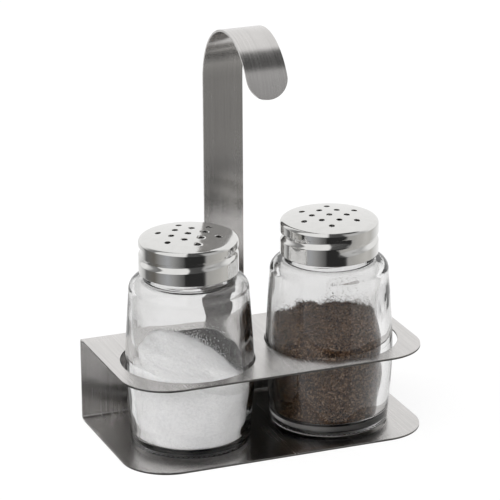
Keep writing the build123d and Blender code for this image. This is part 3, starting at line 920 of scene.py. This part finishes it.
def make_fill(shaker, material, rough, lump, zones):
    """The grains in a bottle: side and floor lie along the glass, and the top is loose and uneven."""
    chance = np.random.RandomState(shaker["seed"])
    reach, rim_z = heap_rim(shaker, lump)
    rim_z = rim_z + chance.normal(0, 1.3 * rough, FILL_COLUMNS)
    top, triangles = heap_surface(shaker, reach, rim_z, rough, lump, chance)
    wall = heap_wall(shaker, rim_z)
    grains, grain_faces = stuck_grains(shaker, rim_z, zones, chance)
    points = np.vstack((top, wall, grains))
    points[:, :2] += np.array((shaker["x"], HOLE_Y)) + shaker["cavity_shift"]
    faces = list(triangles)
    first = len(top)
    count = len(wall) // FILL_COLUMNS
    faces += ring_faces(count, FILL_COLUMNS, first)
    last = first + (count - 1) * FILL_COLUMNS
    for i in range(FILL_COLUMNS):
        j = (i + 1) % FILL_COLUMNS
        faces.append((last + i, last + j, j, i))
    faces.append(tuple(first + i for i in reversed(range(FILL_COLUMNS))))
    faces += [tuple(len(top) + len(wall) + i for i in face) for face in grain_faces]
    made = make_object(f"{shaker['name']}_heap", points, faces, material, 60)
    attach(made, f"{shaker['name']}_shaker")
    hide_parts(f"{shaker['name']}_fill")


for node in ("stand_body", "hook_handle"):
    dress(node, STEEL)
for shaker in SHAKERS:
    dress(f"{shaker['name']}_seal_ring", PLASTIC)
    make_bottle(shaker)
    make_cap(shaker)

make_fill(SHAKERS[0], SALT, 0.14, 0.55, SALT_ZONES)
make_fill(SHAKERS[1], PEPPER, 0.20, 0.7, PEPPER_ZONES)


# ------------------------------------------------------------------ floor
FLOOR_SIZE = 6.0              # in metres
FLOOR_TONE = 0.8              # the floor as soft light meets it
FLOOR_SHADED = 0.16           # the part of it that takes shadows, where it is looked at
FLOOR_GLOW = 0.86             # and the part that stays bright


def make_floor():
    """A plain white floor that keeps a faint shadow."""
    half = FLOOR_SIZE / 2
    mesh = bpy.data.meshes.new("floor")
    corners = [(-half, -half, 0), (half, -half, 0), (half, half, 0), (-half, half, 0)]
    mesh.from_pydata(corners, [], [(0, 1, 2, 3)])
    floor = bpy.data.objects.new("floor", mesh)
    bpy.context.scene.collection.objects.link(floor)
    material = bpy.data.materials.new("floor")
    t = Tree(material)
    path = t.node("ShaderNodeLightPath")
    seen = t.math("MAXIMUM", path.outputs["Is Camera Ray"], path.outputs["Is Transmission Ray"])
    seen = t.math("MULTIPLY", seen, t.math("LESS_THAN", path.outputs["Diffuse Depth"], 0.5))
    plain = t.node("ShaderNodeBsdfDiffuse", {"Color": rgba(FLOOR_TONE)})
    shadowed = t.node("ShaderNodeBsdfDiffuse", {"Color": rgba(FLOOR_SHADED)})
    glow = t.node("ShaderNodeEmission", {"Color": rgba(1.0), "Strength": FLOOR_GLOW})
    bright = t.node("ShaderNodeAddShader", {0: shadowed.outputs[0], 1: glow.outputs[0]})
    mixed = t.node("ShaderNodeMixShader", {0: seen, 1: plain.outputs[0], 2: bright.outputs[0]})
    t.surface(mixed.outputs[0])
    material.cycles.emission_sampling = "NONE"
    mesh.materials.append(material)
    floor.visible_glossy = False


# ------------------------------------------------------------------ light
DARK_ELEVATION = 63.8         # the middle of the dark ceiling that the steel mirrors
DARK_AZIMUTH = -37.9
DARK_REACH = (12.0, 24.0)     # degrees from its middle where it starts to fade and where it has faded
DARK_LEVEL = 0.09
THROUGH_LEVEL = 0.85          # what rays that pass through glass see of the studio, for the most part
THROUGH_SHARE = 0.8
GLASS_LOSS = 0.84             # makes up for the light that the bottles' walls turn back
# the studio that the steel mirrors, below and above the horizon: degrees round from the camera's side,
# and the tone there
LOW_TONES = (
    (-180, 0.95), (-140, 0.85), (-122, 0.55), (-113, 0.17), (-84, (0.165, 0.155, 0.14)),
    (-66, 0.34), (-48, (0.44, 0.45, 0.47)), (-34, 0.36), (-20, 0.21), (-9, 0.11), (-6, 0.03),
    (34, 0.03), (38, 0.06), (44, (0.44, 0.435, 0.425)), (54, (0.46, 0.455, 0.44)),
    (75, (0.54, 0.53, 0.51)), (95, (0.64, 0.63, 0.61)),
    (112, (0.60, 0.59, 0.57)), (130, 0.80), (150, 0.95),
)
HIGH_TONES = (
    (-180, 1.0), (-120, 1.0), (-100, 0.30), (-82, 0.22), (-76, 1.0), (-6, 1.0), (0, 0.10),
    (32, 0.08), (40, 0.50), (60, 0.60), (84, 0.50), (104, 1.0),
)
HORIZON = (-6.0, 4.0)         # in degrees above level, where the lower tones give way to the upper ones


def make_world():
    """Soft studio light. Metal and glass see the studio's bright back, dark ceiling and front."""
    world = bpy.data.worlds.new("studio")
    bpy.context.scene.world = world
    t = Tree(world)
    path = t.node("ShaderNodeLightPath")
    way = t.node("ShaderNodeTexCoord").outputs["Generated"]
    parts = t.node("ShaderNodeSeparateXYZ", {0: way}).outputs
    aside = t.math("MULTIPLY", t.math("ARCTAN2", parts[1], parts[0]), 360 / TURN)
    aside = t.math("SUBTRACT", aside, CAMERA_SIDE)
    aside = t.math("DIVIDE", t.math("FLOORED_MODULO", t.math("ADD", aside, 180.0), 360.0), 360.0)
    rise = t.math("MULTIPLY", t.math("ARCSINE", parts[2]), 360 / TURN)

    def around(stops):
        return t.ramp(aside, [((angle + 180) / 360, tone) for angle, tone in stops])

    level = t.mix(t.smooth(rise, *HORIZON), around(LOW_TONES), around(HIGH_TONES))
    tilt = math.radians(DARK_ELEVATION)
    turn = math.radians(DARK_AZIMUTH)
    axis = (math.cos(turn) * math.cos(tilt), math.sin(turn) * math.cos(tilt), math.sin(tilt))
    along = t.node("ShaderNodeVectorMath", {0: way, 1: axis}, operation="DOT_PRODUCT").outputs["Value"]
    full, none = (math.cos(math.radians(reach)) for reach in DARK_REACH)
    studio = t.mix(t.smooth(along, none, full), level, DARK_LEVEL)
    through_glass = t.math("MULTIPLY", path.outputs["Is Transmission Ray"], THROUGH_SHARE)
    studio = t.mix(through_glass, studio, THROUGH_LEVEL)

    # diffuse surfaces get plain soft light, a little stronger from the camera's side
    front = t.smooth(t.math("ABSOLUTE", t.math("SUBTRACT", aside, 0.37)), 0.06, 0.34, 1.75, 0.6)
    soft = t.math("MULTIPLY", front, t.smooth(rise, -20.0, 50.0, 0.8, 1.1))
    loss = t.math("MULTIPLY", t.smooth(rise, -10.0, 60.0, 1.0, 1.9), GLASS_LOSS)
    through = t.math("ADD", 1.0, t.math("MULTIPLY", path.outputs["Is Transmission Ray"], loss))
    soft = t.math("MULTIPLY", soft, through)
    seen = t.math("LESS_THAN", path.outputs["Diffuse Depth"], 0.5)
    light = t.mix(seen, soft, studio)
    light = t.mix(path.outputs["Is Camera Ray"], light, 1.0)
    t.surface(t.node("ShaderNodeBackground", {"Color": light, "Strength": 1.0}).outputs[0])
    world.cycles.sampling_method = "NONE"


make_floor()
make_world()
bpy.context.scene.view_settings.view_transform = "Standard"
